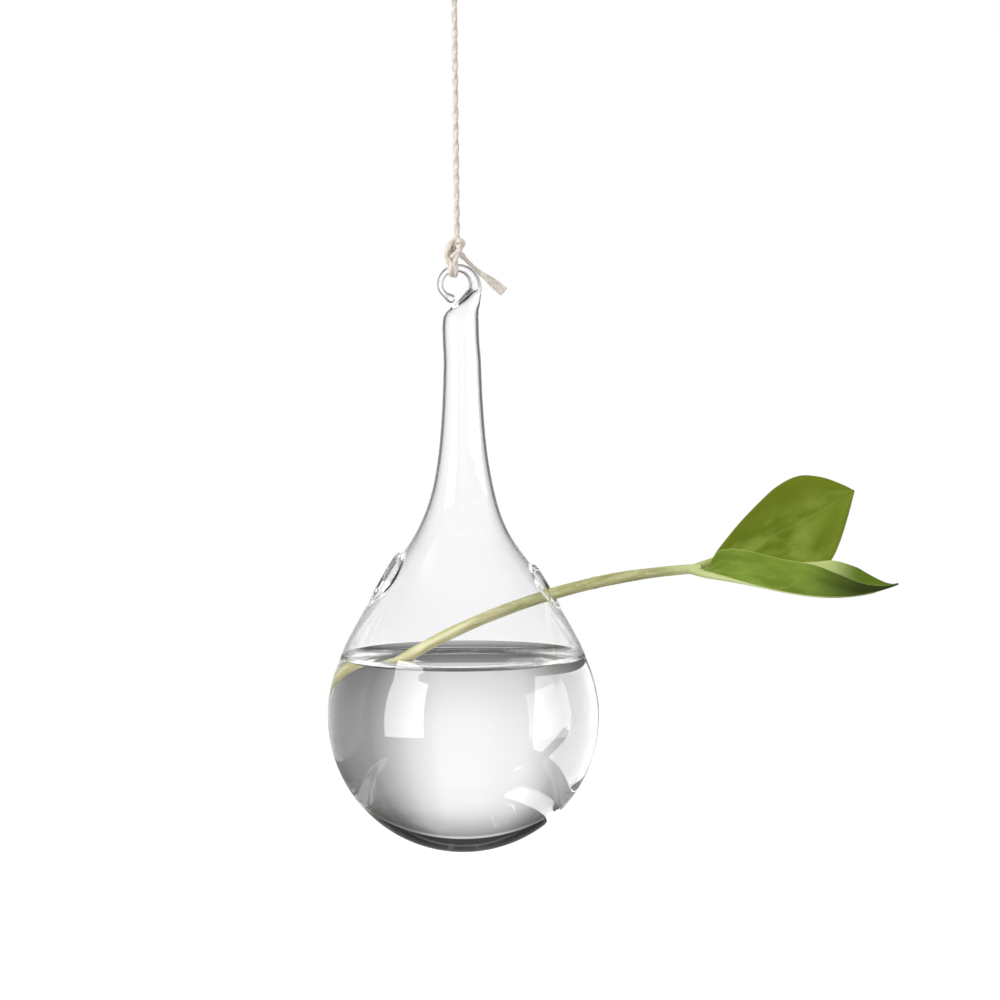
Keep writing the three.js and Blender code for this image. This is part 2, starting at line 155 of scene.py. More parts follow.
# Water that climbs the wall and the stem a little, as heights and lengths of climbs.
WALL_CLIMB = ((1.9, 0.9), (0.8, 2.4))
STEM_CLIMB = (0.8, 0.8)
CONTACT_HEIGHT = WATER_LEVEL + sum(height for height, _ in WALL_CLIMB)
WALL_OVERLAP = 0.1
CLIMB_REACH = 7
CLIMB_CROWDING = 1.6

# Sprig, in its own plane through the right mouth.
SPRIG_SHIFT = 1
STEM_RADIUS = 1.72
STEM_BEND = 193
STEM_SLOPE = math.radians(17)
STEM_AT_RIM = np.array([25.1, 35.7])
STEM_INSIDE = 68
STEM_OUTSIDE = 46.2
STEM_TAPER = 0.32
STEM_TAPERS = 0.3, 0.95
# Winding ridges, swellings and the scar of the stem, as shares of its radius.
RIDGES = 3
RIDGE_HEIGHT = 0.03
RIDGE_TWIST = 0.11
SWELL = 0.02
SWELL_RATE = 0.35
SCAR_AT = 14.5
SCAR_HEIGHT = 0.14
SCAR_LENGTH = 0.8

# Leaves, with shares along the midrib. Rates of a wave are along and across.
LEAF_THICKNESS = 0.5
MARGIN_POWER = 8
MARGIN_LEFT = 0.02
MARGIN_WAVE = 0.35
MARGIN_RATES = 9, 2.5
VEINS = 9
VEIN_SLANT = 0.3
VEIN_WANDER = 0.25
VEIN_RATES = 7, 2
VEIN_WIDTH = 0.1
VEIN_TINT = 0.06
VEIN_FADES = 1.0, 0.5
VEIN_RELIEF = 0.03
RIB_END = 0.9
RIB_THINS = 0.5, 0
RIB_FALL = 1.5
RIB_OFFSET = 0.5
RIB_LEAVES = 0, 0.12

# Twine of two plies.
TWINE_RADIUS = 0.92
PLY_RADIUS = 0.72
PLY_OFFSET = 0.28
LAY = 9.5
ROPE_STEP = 0.25
ROPE_SIDES = 20
ROPE_TIP = 0.05
ROPE_SWELLS = 0.3, 0.8
ROPE_UNEVEN = 0.04
UNEVEN_RATE = 1.9
NEXT_TURN = 1.3
STRAND_LEAN = 0.35
BIGHT_RADIUS = 2.0

# Loose fibres, with shares of their length along and out of the twine.
HAIR_RADIUS = 0.035
HAIR_TAPER = 1.15
HAIR_LENGTH = 2.2
HAIR_ROOT = 0.55
HAIR_ALONG = 0.75
HAIR_OUT = 0.45
HAIR_CURVE = 1.6
FEWEST_HAIRS = 3


def smoothstep(low, high, value):
    """Rises smoothly from 0 at low to 1 at high."""
    share = np.clip((value - low) / (high - low), 0, 1)
    return share * share * (3 - 2 * share)


def unit(vectors):
    """The same directions with length 1."""
    return vectors / np.linalg.norm(vectors, axis=-1, keepdims=True)


def bezier(controls, shares):
    """Points of a Bezier curve at these shares of its length."""
    layer = [np.asarray(control, float) for control in controls]
    while len(layer) > 1:
        layer = [a + (b - a) * shares[:, None] for a, b in zip(layer, layer[1:])]
    return layer[0]


def spline(points, steps=10):
    """A smooth curve through points, with so many steps between each two."""
    points = np.asarray(points, float)
    ends = 2 * points[0] - points[1], 2 * points[-1] - points[-2]
    knots = np.vstack([ends[0], points, ends[1]])
    t = np.arange(steps)[:, None] / steps
    parts = []
    for a, b, c, d in zip(knots, knots[1:], knots[2:], knots[3:]):
        bend = (2 * a - 5 * b + 4 * c - d) * t ** 2 + (3 * b - a - 3 * c + d) * t ** 3
        parts.append(b + ((c - a) * t + bend) / 2)
    return np.vstack([*parts, points[-1:]])


def resample(path, step):
    """Points at nearly equal steps along a path."""
    lengths = np.r_[0, np.cumsum(np.linalg.norm(np.diff(path, axis=0), axis=1))]
    places = np.linspace(0, lengths[-1], max(2, round(lengths[-1] / step) + 1))
    return np.column_stack([np.interp(places, lengths, column) for column in path.T])


def frames(path):
    """Unit directions along a path, and two across it that turn little."""
    tangents = unit(np.gradient(path, axis=0))
    side = np.cross(tangents[0], UNUSED_WAY)
    sides = []
    for tangent in tangents:
        side = unit(side - tangent * side.dot(tangent))
        sides.append(side)
    return tangents, np.array(sides), np.cross(tangents, sides)


def ring_turns(count):
    """Angles of the vertices of a ring."""
    return np.arange(count) * 2 * math.pi / count


def tube_rings(path, reaches, turns):
    """Rings across a path, with the reach and the angles of each."""
    rings = []
    for point, side, other, reach, turn in zip(path, *frames(path)[1:], reaches, turns):
        rings.append(point + reach * (np.cos(turn)[:, None] * side + np.sin(turn)[:, None] * other))
    return rings


def round_marks(along, turns):
    """Marks of a ring: its place along a tube and places round it."""
    return np.column_stack([np.full(len(turns), along), np.cos(turns), np.sin(turns)])


class Skin:
    """Vertices, faces and one vector mark for each vertex, gathered for a mesh."""

    def __init__(self):
        self.points = []
        self.marks = []
        self.faces = []
        self.kinds = []

    def add(self, points, marks=None):
        """Adds points and gives back their numbers."""
        points = np.asarray(points, float).reshape(-1, 3)
        first = len(self.points)
        self.points.extend(points)
        self.marks.extend(np.zeros_like(points) if marks is None else np.asarray(marks).reshape(-1, 3))
        return list(range(first, len(self.points)))

    def face(self, corners, kind=0):
        """Adds one face with the number of its material."""
        self.faces.append(tuple(corners))
        self.kinds.append(kind)

    def bridge(self, loop, other, kind=0, closed=True):
        """Joins two rows of vertices by four-sided faces."""
        count = len(loop)
        for k in range(count if closed else count - 1):
            n = (k + 1) % count
            self.face((loop[k], loop[n], other[n], other[k]), kind)

    def join(self, loops, kind=0, closed=True):
        """Joins each row of vertices to the next one."""
        for loop, other in zip(loops, loops[1:]):
            self.bridge(loop, other, kind, closed)

    def fan(self, loop, tip, kind=0):
        """Closes a ring of vertices with triangles to one vertex."""
        for k, corner in enumerate(loop):
            self.face((corner, loop[(k + 1) % len(loop)], tip), kind)

    def tube(self, rings, marks):
        """Joins rings of equal size into a tube and closes both ends."""
        loops = [self.add(ring, mark) for ring, mark in zip(rings, marks)]
        self.join(loops)
        for end in (0, -1):
            tip = self.add(np.mean(rings[end], axis=0), np.mean(marks[end], axis=0))
            self.fan(loops[end], tip[0])


def add_object(name, data):
    """A new object in the scene."""
    thing = bpy.data.objects.new(name, data)
    bpy.context.scene.collection.objects.link(thing)
    return thing


def add_piece(name, skin, materials, body, nodes):
    """An object made of a skin, in metres, that rides on a body in place of CAD nodes."""
    used = sorted({corner for face in skin.faces for corner in face})
    number = {corner: k for k, corner in enumerate(used)}
    mesh = bpy.data.meshes.new(name)
    points = [tuple(skin.points[corner] * MM) for corner in used]
    mesh.from_pydata(points, [], [tuple(number[corner] for corner in face) for face in skin.faces])
    for material in materials:
        mesh.materials.append(material)
    mesh.polygons.foreach_set("material_index", skin.kinds)
    marks = mesh.attributes.new("mark", "FLOAT_VECTOR", "POINT")
    marks.data.foreach_set("vector", np.array([skin.marks[corner] for corner in used], float).ravel())
    shape = bmesh.new()
    shape.from_mesh(mesh)
    bmesh.ops.recalc_face_normals(shape, faces=shape.faces)
    shape.to_mesh(mesh)
    shape.free()
    mesh.shade_smooth()
    piece = add_object(name, mesh)
    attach(piece, body)
    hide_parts(*nodes)
    return piece


# Materials.


def tone(red, green, blue):
    """A colour as on a screen, 0 to 255, in the linear values of shaders."""
    levels = [level / 255 for level in (red, green, blue)]
    return (*(v / 12.92 if v <= 0.04045 else ((v + 0.055) / 1.055) ** 2.4 for v in levels), 1)


def grey(level):
    """A colour without a hue, in linear values."""
    return level, level, level, 1


class Graph:
    """A node tree with short ways to add nodes."""

    def __init__(self, tree):
        self.tree = tree
        tree.nodes.clear()

    def add(self, kind, inputs=None, **settings):
        """Adds a node with settings and inputs, and gives back its outputs."""
        node = self.tree.nodes.new(kind)
        for name, value in settings.items():
            setattr(node, name, value)
        for key, value in (inputs or {}).items():
            if isinstance(value, bpy.types.NodeSocket):
                self.tree.links.new(value, node.inputs[key])
            else:
                node.inputs[key].default_value = value
        return node.outputs

    def show(self, surface, output="ShaderNodeOutputMaterial"):
        """Ends the tree in a surface."""
        self.add(output, {"Surface": surface})

    def finish(self, colour, relief, inputs):
        """Ends the tree in the main shader with a colour and a relief."""
        inputs = {"Base Color": colour, "Normal": relief, **inputs}
        self.show(self.add("ShaderNodeBsdfPrincipled", inputs)[0])

    def mark(self):
        """The marks that a skin gave its vertices."""
        return self.add("ShaderNodeAttribute", attribute_name="mark")["Vector"]

    def split(self, vector):
        """The three numbers of a vector."""
        return self.add("ShaderNodeSeparateXYZ", {0: vector})

    def math(self, operation, *values):
        """A number worked out from others."""
        return self.add("ShaderNodeMath", dict(enumerate(values)), operation=operation)[0]

    def times(self, first, second):
        """Two numbers multiplied."""
        return self.math("MULTIPLY", first, second)

    def rise(self, value, low, high, floor=0.0, top=1.0):
        """A smooth rise from floor to top while value goes from low to high."""
        inputs = {0: value, 1: low, 2: high, 3: floor, 4: top}
        return self.add("ShaderNodeMapRange", inputs, interpolation_type="SMOOTHSTEP")[0]

    def mix(self, share, first, second):
        """A colour between two colours."""
        return self.add("ShaderNodeMix", {0: share, 6: first, 7: second}, data_type="RGBA")[2]

    def blend(self, share, first, second):
        """A number between two numbers."""
        return self.add("ShaderNodeMix", {0: share, 2: first, 3: second}, data_type="FLOAT")[0]

    def curve(self, value, stops):
        """A number that follows straight lines between stops of place and level."""
        first, last = stops[0][0], stops[-1][0]
        place = self.add("ShaderNodeMapRange", {0: value, 1: first, 2: last})[0]
        ramp = self.add("ShaderNodeValToRGB", {0: place})[0]
        stones = ramp.node.color_ramp.elements
        for at, _ in stops[1:-1]:
            stones.new((at - first) / (last - first))
        for stone, (_, level) in zip(stones, stops):
            stone.color = grey(level)
        return ramp

    def noise(self, vector, stretch, scale=1.0, detail=3.0):
        """Soft noise between 0 and 1 over stretched coordinates."""
        place = self.add("ShaderNodeMapping", {"Vector": vector, "Scale": stretch})[0]
        return self.add("ShaderNodeTexNoise", {"Vector": place, "Scale": scale, "Detail": detail})[0]

    def bump(self, height, distance):
        """Surface normals for a relief."""
        return self.add("ShaderNodeBump", {"Height": height, "Distance": distance, "Strength": 1.0})[0]


def new_material(name):
    """An empty material and its graph."""
    material = bpy.data.materials.new(name)
    material.use_nodes = True
    return material, Graph(material.node_tree)


def clear_material(name, ior, clearness=1.0):
    """A surface between two clear media whose indexes have this ratio. Soft light passes it straight."""
    material, graph = new_material(name)
    body = {"Base Color": grey(clearness), "Roughness": 0.0, "IOR": ior, "Transmission Weight": 1.0}
    clear = graph.add("ShaderNodeBsdfPrincipled", body)[0]
    rays = graph.add("ShaderNodeLightPath")
    soft = graph.math("MAXIMUM", rays["Is Shadow Ray"], rays["Is Diffuse Ray"])
    straight = graph.add("ShaderNodeBsdfTransparent", {"Color": grey(0.97)})[0]
    graph.show(graph.add("ShaderNodeMixShader", {0: soft, 1: clear, 2: straight})[0])
    return material


def twine_material():
    """Pale natural fibre, streaked along the plies."""
    material, graph = new_material("twine")
    mark = graph.mark()
    streak = graph.noise(mark, stretch=(0.6, 3.5, 3.5), scale=1.6, detail=4.0)
    blotch = graph.noise(mark, stretch=(0.25, 0.6, 0.6), detail=2.0)
    colour = graph.mix(graph.rise(streak, 0.35, 0.68), tone(198, 187, 172), tone(250, 244, 236))
    colour = graph.mix(graph.rise(blotch, 0.5, 0.75, top=0.45), colour, tone(220, 208, 195))
    relief = graph.bump(streak, distance=0.25 * MM)
    graph.finish(colour, relief, {"Roughness": 0.92, "Specular IOR Level": 0.15})
    return material


def stem_material():
    """Pale olive skin with specks, painted paler inside the vase as it looks lit through the glass and water,
    and paler beside the leaves.
    """
    material, graph = new_material("stem")
    mark = graph.mark()
    share = graph.split(mark)[0]
    mottle = graph.noise(mark, stretch=(14, 1.5, 1.5), detail=4.0)
    speck = graph.noise(mark, stretch=(60, 4, 4), detail=2.0)
    patch = graph.rise(mottle, 0.32, 0.68)
    skin = graph.mix(patch, tone(144, 146, 92), tone(178, 177, 128))
    # Painted light: inside the vase the skin is painted paler, standing in for the bright light it gets
    # through the glass and water.
    inside = graph.mix(patch, tone(194, 189, 140), tone(226, 222, 180))
    skin = graph.mix(graph.rise(share, 0.62, 0.3), skin, inside)
    skin = graph.mix(graph.rise(share, 0.85, 1.0), skin, tone(190, 199, 138))
    skin = graph.mix(graph.rise(speck, 0.62, 0.7, top=0.45), skin, tone(238, 236, 190))
    relief = graph.bump(mottle, distance=0.1 * MM)
    depths = {"Subsurface Weight": 0.15, "Subsurface Radius": (1.0 * MM, 1.0 * MM, 0.4 * MM)}
    graph.finish(skin, relief, {"Roughness": 0.5, **depths})
    return material


# Leaf tones. On the folded leaf the far tone is a painted highlight on the far half's inner face that fades
# to the far_tip green, and the tip tone is painted shade on the near half towards the tip. The pale tone is
# partly the leaf's own uneven tone and partly painted sheen.
UPRIGHT_TONES = {"blade": (98, 115, 8), "pale": (136, 152, 58), "rib": (142, 158, 74),
                 "far": (102, 118, 14), "far_tip": (102, 118, 14), "tip": (104, 121, 18)}
FOLDED_TONES = {"blade": (112, 136, 34), "pale": (134, 160, 56), "rib": (196, 206, 146),
                "far": (198, 209, 136), "far_tip": (92, 118, 24), "tip": (34, 44, 2)}


def leaf_material(name, tones, crease):
    """Waxy green with blotches that are partly painted sheen, veins, a crease and a painted highlight along
    the margin. Where the tones differ, the far half has a painted highlight that fades towards its tip, and
    the near half has painted shade towards the tip.
    """
    look = {part: tone(*levels) for part, levels in tones.items()}
    material, graph = new_material(name)
    mark = graph.mark()
    share, across, vein = graph.split(mark)
    aside = graph.math("ABSOLUTE", across)
    blotch = graph.noise(mark, stretch=(3.4, 1.7, 0), scale=1.3)
    cells = graph.noise(mark, stretch=(60, 26, 0))
    # Blotches of the leaf's own uneven tone; their pale patches also paint the waxy sheen.
    colour = graph.mix(graph.rise(blotch, 0.36, 0.68), look["blade"], look["pale"])
    # Painted highlight: the far half's inner face is painted paler, as if strongly lit from above, and fades
    # to green towards the tip.
    far_half_highlight = graph.mix(graph.rise(share, 0.68, 0.84), look["far"], look["far_tip"])
    colour = graph.mix(graph.rise(across, 0.1, 0.75, top=0.9), colour, far_half_highlight)
    # Painted shade: the near half darkens towards the tip, where it turns down away from the light.
    shaded_near_half = graph.rise(across, 0.35, -0.05, floor=0.25)
    shade = graph.times(graph.rise(share, 0.52, 0.88, top=0.9), shaded_near_half)
    colour = graph.mix(shade, colour, look["tip"])
    colour = graph.mix(graph.rise(cells, 0.35, 0.75, top=0.15), colour, tone(80, 98, 10))
    colour = graph.mix(graph.rise(aside, 0.06, 0.0, top=crease), colour, look["rib"])
    # Painted highlight: a thin pale line along the margin.
    colour = graph.mix(graph.rise(aside, 0.985, 1.0, top=0.4), colour, look["rib"])
    colour = graph.mix(graph.times(vein, graph.rise(share, 0.75, 0.5)), colour, look["rib"])
    colour = graph.mix(graph.rise(share, 0.15, 0.04, top=0.85), colour, tone(182, 192, 126))
    relief = graph.bump(cells, distance=0.06 * MM)
    graph.finish(colour, relief, {"Roughness": 0.42, "Specular IOR Level": 0.2})
    return material


# Glass.


def outline(fineness=1):
    """Radius and height of the outer skin from its lowest point up to the hook."""
    angles = np.linspace(-math.pi / 2, FLANK_ANGLE, num=64 * fineness, endpoint=False)
    ball = BALL_RADIUS * np.column_stack([np.cos(angles), np.sin(angles)])
    start = BALL_RADIUS * np.array([math.cos(FLANK_ANGLE), math.sin(FLANK_ANGLE)])
    belly = start + FLANK_BELLY * np.array([-math.sin(FLANK_ANGLE), math.cos(FLANK_ANGLE)])
    flank = bezier([start, belly, FLANK_TOP], np.linspace(0, 1, num=32 * fineness, endpoint=False))
    neck_low = FLANK_TOP + NECK_TANGENT * unit(FLANK_TOP - belly)
    neck = bezier([FLANK_TOP, neck_low, NECK_WAIST, NECK_TOP], np.linspace(0, 1, num=44 * fineness))
    skin = np.vstack([ball, flank, neck])
    height = skin[:, 1]
    fuller = FULLER + FLANK_FULLER * smoothstep(*FLANK_FULLER_TO, height)
    skin[:, 0] += smoothstep(*FULLER_FROM, height) * fuller
    return skin


def wall_at(height):
    """Thickness of the glass, thin where the flank was blown out."""
    flank = (FLANK_WALL - WALL) * smoothstep(*FLANK_THINS, height)
    return WALL + flank + (NECK_WALL - FLANK_WALL) * smoothstep(*NECK_THICKENS, height)


def inner_outline(outer):
    """The inner skin, a wall's thickness inside the outer one."""
    along = unit(np.gradient(outer, axis=0))
    inner = outer - wall_at(outer[:, 1])[:, None] * np.column_stack([along[:, 1], -along[:, 0]])
    inner[0] = 0, WALL - BALL_RADIUS
    return inner


FINE_OUTER = outline(fineness=12)
FINE_INNER = inner_outline(FINE_OUTER)


def radius_at(height, table):
    """Radius of a skin at a height."""
    return np.interp(height, table[:, 1], table[:, 0])


def level_rings(profile):
    """Level rings round the vase's axis, one for each point of a profile."""
    turns = ring_turns(GLASS_AROUND)
    radii = profile[:, 0, None]
    heights = np.repeat(profile[:, 1, None], GLASS_AROUND, axis=1)
    lean = NECK_LEAN * smoothstep(*NECK_LEANS, heights) * smoothstep(*NECK_RIGHTS, heights)
    return np.stack([lean + radii * np.cos(turns), radii * np.sin(turns), heights], axis=2)


def edge_rings(edges):
    """Rings between left and right edges, given as x and height of each."""
    turns = ring_turns(GLASS_AROUND)
    middle = (edges[:, :2] + edges[:, 2:]) / 2
    half = (edges[:, 2:] - edges[:, :2]) / 2
    x = middle[:, 0, None] + half[:, 0, None] * np.cos(turns)
    y = np.linalg.norm(half, axis=1)[:, None] * np.sin(turns)
    z = middle[:, 1, None] + half[:, 1, None] * np.cos(turns)
    return np.stack([x, y, z], axis=2)


def curl_edges():
    """Inner and outer edge of the rod round the eye, with its rounded tip."""
    turns = np.linspace(CURL_START, CURL_END, num=120)
    thinning = ((CURL_THIN - turns) / (CURL_THIN - CURL_START)) ** 2
    swelling = smoothstep(*TIP_SWELLS, (turns - CURL_THIN) / (CURL_END - CURL_THIN))
    radius = np.where(turns < CURL_THIN, ROD_THIN + (ROD_ROOT - ROD_THIN) * thinning,
                      ROD_THIN + (ROD_TIP - ROD_THIN) * swelling)
    reach = EYE_RADIUS + radius - CURL_INWARD * smoothstep(CURL_TURNS_IN, CURL_END, turns)
    eye = np.array([-VASE[0], EYE_HEIGHT])
    spokes = np.column_stack([np.cos(np.radians(turns)), np.sin(np.radians(turns))])
    line = eye + reach[:, None] * spokes
    shares = np.sin(np.linspace(0, math.pi / 2, num=8))[1:-1, None]
    tip = line[-1] + unit(line[-1] - line[-2]) * ROD_TIP * shares
    line = np.vstack([line, tip])
    spokes = np.vstack([spokes, np.repeat(spokes[-1:], len(tip), axis=0)])
    radius = np.r_[radius, ROD_TIP * np.sqrt(1 - shares[:, 0] ** 2)][:, None]
    return np.hstack([line - radius * spokes, line + radius * spokes])


def bore_edges(shell):
    """Edges of the bore inside the hook's root, which slants and closes."""
    across = shell[:, 2:] - shell[:, :2]
    width = np.linalg.norm(across, axis=1)
    share = np.linspace(0, 1, len(shell))
    left = NECK_WALL + BORE_SLANT * smoothstep(*BORE_SLANTS, share)
    room = width - left - NECK_WALL - BORE_TIP
    closing = smoothstep(*BORE_CLOSES, share) * room
    left = (left + BORE_LEFT * closing) / width
    right = (NECK_WALL + (1 - BORE_LEFT) * closing) / width
    return np.hstack([shell[:, :2] + left[:, None] * across, shell[:, 2:] - right[:, None] * across])


def add_hook(skin, neck_outer, neck_inner):
    """The neck's end, drawn solid and curled into an eye."""
    curl = curl_edges()
    root = spline([*HOOK_EDGES, curl[0], curl[ROOT_AIM]], ROOT_STEPS)[1:-ROOT_STEPS]
    bore = bore_edges(np.vstack([root, curl[1:BORE_REACH]]))
    for neck, edges in ((neck_outer, np.vstack([root, curl[1:]])), (neck_inner, bore)):
        loops = [neck] + [skin.add(ring) for ring in edge_rings(edges)]
        skin.join(loops)
        skin.fan(loops[-1], skin.add(np.mean([skin.points[k] for k in loops[-1]], axis=0))[0])


def mouth_frame(mouth):
    """Middle of a mouth and its directions aside, up the wall and out."""
    spoke = np.array([math.cos(mouth["azimuth"]), math.sin(mouth["azimuth"]), 0])
    out = spoke * math.cos(MOUTH_TILT) + UP * math.sin(MOUTH_TILT)
    rise = UP * math.cos(MOUTH_TILT) - spoke * math.sin(MOUTH_TILT)
    centre = spoke * radius_at(mouth["height"], FINE_OUTER) + UP * mouth["height"] - BEAD_SINK * out
    return centre, np.cross(rise, out), rise, out


def mouth_cells(mouth, centre, outer):
    """Mask of the cells round a mouth, and row and column of each vertex round them."""
    reach = mouth["outer"] + MOUTH_MARGIN
    rows = np.flatnonzero(np.abs(outer[:, 1] - centre[2]) < reach * math.cos(MOUTH_TILT))
    half = math.asin(reach / radius_at(mouth["height"], FINE_OUTER)) * GLASS_AROUND / (2 * math.pi)
    middle = mouth["azimuth"] * GLASS_AROUND / (2 * math.pi)
    low, high, first, last = rows[0], rows[-1], round(middle - half), round(middle + half)
    cut = np.zeros((len(outer), GLASS_AROUND), bool)
    cut[low:high, np.arange(first, last) % GLASS_AROUND] = True
    loop = [(low, k) for k in range(first, last)] + [(row, last) for row in range(low, high)]
    loop += [(high, k) for k in range(last, first, -1)] + [(row, first) for row in range(high, low, -1)]
    return cut, [(row, k % GLASS_AROUND) for row, k in loop]


def skin_height(flat, out, table):
    """How far out of a mouth's plane a skin lies over points of that plane."""
    low = np.full(len(flat), -SEARCH_REACH)
    high = np.full(len(flat), SEARCH_REACH)
    for _ in range(SEARCH_STEPS):
        middle = (low + high) / 2
        point = flat + middle[:, None] * out
        outside = np.hypot(point[:, 0], point[:, 1]) > radius_at(point[:, 2], table)
        high = np.where(outside, middle, high)
        low = np.where(outside, low, middle)
    return middle


def bead_side(distance, ring, bead):
    """Height of a bead's outer side at distances from the mouth's middle."""
    x = np.clip((distance - ring) / bead, 0, None)
    slope = np.clip(x - BEAD_ROUND, 0, None) * BEAD_ROUND / math.sqrt(1 - BEAD_ROUND ** 2)
    return bead * (np.sqrt(1 - np.clip(x, 0, BEAD_ROUND) ** 2) - slope)


def soft_max(a, b, softness):
    """The larger of two heights, with a rounded change between them."""
    share = np.clip(0.5 + (a - b) / (2 * softness), 0, 1)
    return b + (a - b) * share + softness * share * (1 - share)


def open_mouth(skin, mouth, outer, outer_ids, inner_ids):
    """Opens a mouth with a bead rim in both skins, and gives the mask of the cut cells."""
    centre, aside, rise, out = mouth_frame(mouth)
    cut, corners = mouth_cells(mouth, centre, outer)
    outer_edge, inner_edge = ([ids[row][k] for row, k in corners] for ids in (outer_ids, inner_ids))
    spread = np.array([skin.points[k] for k in outer_edge]) - centre
    turn = np.arctan2(spread @ rise, spread @ aside)
    bead = mouth["bead"] * (1 + BEAD_UNEVEN * np.cos(3 * turn + mouth["phase"]))
    ring = (mouth["outer"] - mouth["bead"]) * (1 + RING_UNEVEN * np.cos(2 * turn + mouth["phase"]))
    lift = BEAD_LIFT * np.cos(2 * turn + 2 * mouth["phase"])

    def flat(distance):
        a, b = distance * np.cos(turn), distance * np.sin(turn)
        return centre + a[:, None] * aside + b[:, None] * rise

    def skin_rows(edge, table, sign):
        start = np.array([skin.points[k] for k in edge]) - centre
        wide = np.hypot(start @ aside, start @ rise)
        rows = []
        for share in (1 - np.arange(1, MOUTH_ROWS + 1) / MOUTH_ROWS) ** MOUTH_CROWDING:
            distance = ring + (wide - ring) * share
            height = sign * skin_height(flat(distance), out, table)
            side = sign * lift + bead_side(distance, ring, bead)
            rows.append((distance, sign * soft_max(height, side, softness=0.5)))
        return rows

    outer_rows = skin_rows(outer_edge, FINE_OUTER, 1)
    inner_rows = skin_rows(inner_edge, FINE_INNER, -1)
    top, bottom = outer_rows[-1][1], inner_rows[-1][1]
    lip_rows = []
    for angle in np.linspace(0, math.pi, num=14)[1:-1]:
        distance = ring - bead * math.sin(angle)
        lip_rows.append((distance, (top + bottom) / 2 + (top - bottom) / 2 * math.cos(angle)))
    loops = [outer_edge]
    for distance, height in outer_rows + lip_rows + inner_rows[::-1]:
        loops.append(skin.add(flat(distance) + height[:, None] * out))
    skin.join([*loops, inner_edge])
    return cut


def add_walls(skin, outer_ids, inner_ids, cut, contact):
    """Faces of both skins but for the cut cells. The inner one is wet below the contact."""
    for row in range(1, len(outer_ids) - 1):
        low, high = outer_ids[row], outer_ids[row + 1]
        inner_low, inner_high = inner_ids[row], inner_ids[row + 1]
        kind = TOUCHING if row < contact else 0
        for k in np.flatnonzero(~cut[row]):
            n = (k + 1) % GLASS_AROUND
            skin.face((low[k], low[n], high[n], high[k]))
            skin.face((inner_low[n], inner_low[k], inner_high[k], inner_high[n]), kind)
    skin.fan(outer_ids[1], outer_ids[0][0])
    skin.fan(inner_ids[1], inner_ids[0][0], TOUCHING)


def build_glass(dry, wet):
    """The blown glass in one piece: ball, flank, neck, hook and both mouths."""
    skin = Skin()
    outer = outline()
    inner = inner_outline(outer)
    contact = int(np.argmin(np.abs(inner[:, 1] - CONTACT_HEIGHT)))
    inner[contact] = radius_at(CONTACT_HEIGHT, FINE_INNER), CONTACT_HEIGHT
    outer_ids = [skin.add(ring) for ring in level_rings(outer)]
    inner_ids = [skin.add(ring) for ring in level_rings(inner)]
    cut = np.zeros((len(outer), GLASS_AROUND), bool)
    for mouth in (LEFT_MOUTH, RIGHT_MOUTH):
        cut |= open_mouth(skin, mouth, outer, outer_ids, inner_ids)
    add_walls(skin, outer_ids, inner_ids, cut, contact)
    add_hook(skin, outer_ids[-1], inner_ids[-1])
    skin.points = [point + VASE for point in skin.points]
    nodes = "glass_bulb", "glass_neck", "hanging_hook", "left_mouth_rim", "right_mouth_rim"
    add_piece("glass_vase", skin, [dry, wet], "vase", nodes)


# Sprig.


def sprig_place(points):
    """Points of the sprig's own frame, set in the vase."""
    points = np.asarray(points, float)
    along = points[..., 0, None] * SPRIG_FORWARD + points[..., 1, None] * SPRIG_BACKWARD
    return VASE + SPRIG_SHIFT * BACK + along + points[..., 2, None] * UP


def stem_line(lengths):
    """The stem's middle line, an arc, at lengths from the mouth's rim."""
    slope = STEM_SLOPE - lengths / STEM_BEND
    x = STEM_AT_RIM[0] + STEM_BEND * (math.sin(STEM_SLOPE) - np.sin(slope))
    z = STEM_AT_RIM[1] + STEM_BEND * (np.cos(slope) - math.cos(STEM_SLOPE))
    return np.column_stack([x, np.zeros_like(x), z])


def stem_unevenness(length, turns):
    """The stem's radius as a share of its plain one, at a length and round it."""
    scar = SCAR_HEIGHT * math.exp(-((length - SCAR_AT) / SCAR_LENGTH) ** 2) * (1 - np.sin(turns)) / 2
    ridges = RIDGE_HEIGHT * np.sin(RIDGES * turns + RIDGE_TWIST * length)
    return 1 + ridges + SWELL * np.sin(SWELL_RATE * length) + scar


def build_stem(material):
    """The cut stem, slimmer towards the leaves, with the scar of a lost leaf."""
    lengths = np.linspace(-STEM_INSIDE, STEM_OUTSIDE, num=240)
    line = sprig_place(stem_line(lengths))
    radius = STEM_RADIUS - STEM_TAPER * smoothstep(*np.multiply(STEM_TAPERS, STEM_OUTSIDE), lengths)
    turns = ring_turns(count=32)
    reaches = [size * stem_unevenness(length, turns)[:, None] for length, size in zip(lengths, radius)]
    shares = (lengths + STEM_INSIDE) / (STEM_INSIDE + STEM_OUTSIDE)
    skin = Skin()
    skin.tube(tube_rings(line, reaches, repeat(turns)), [round_marks(share, turns) for share in shares])
    add_piece("cut_stem", skin, [material], "sprig", ("sprig_stem",))


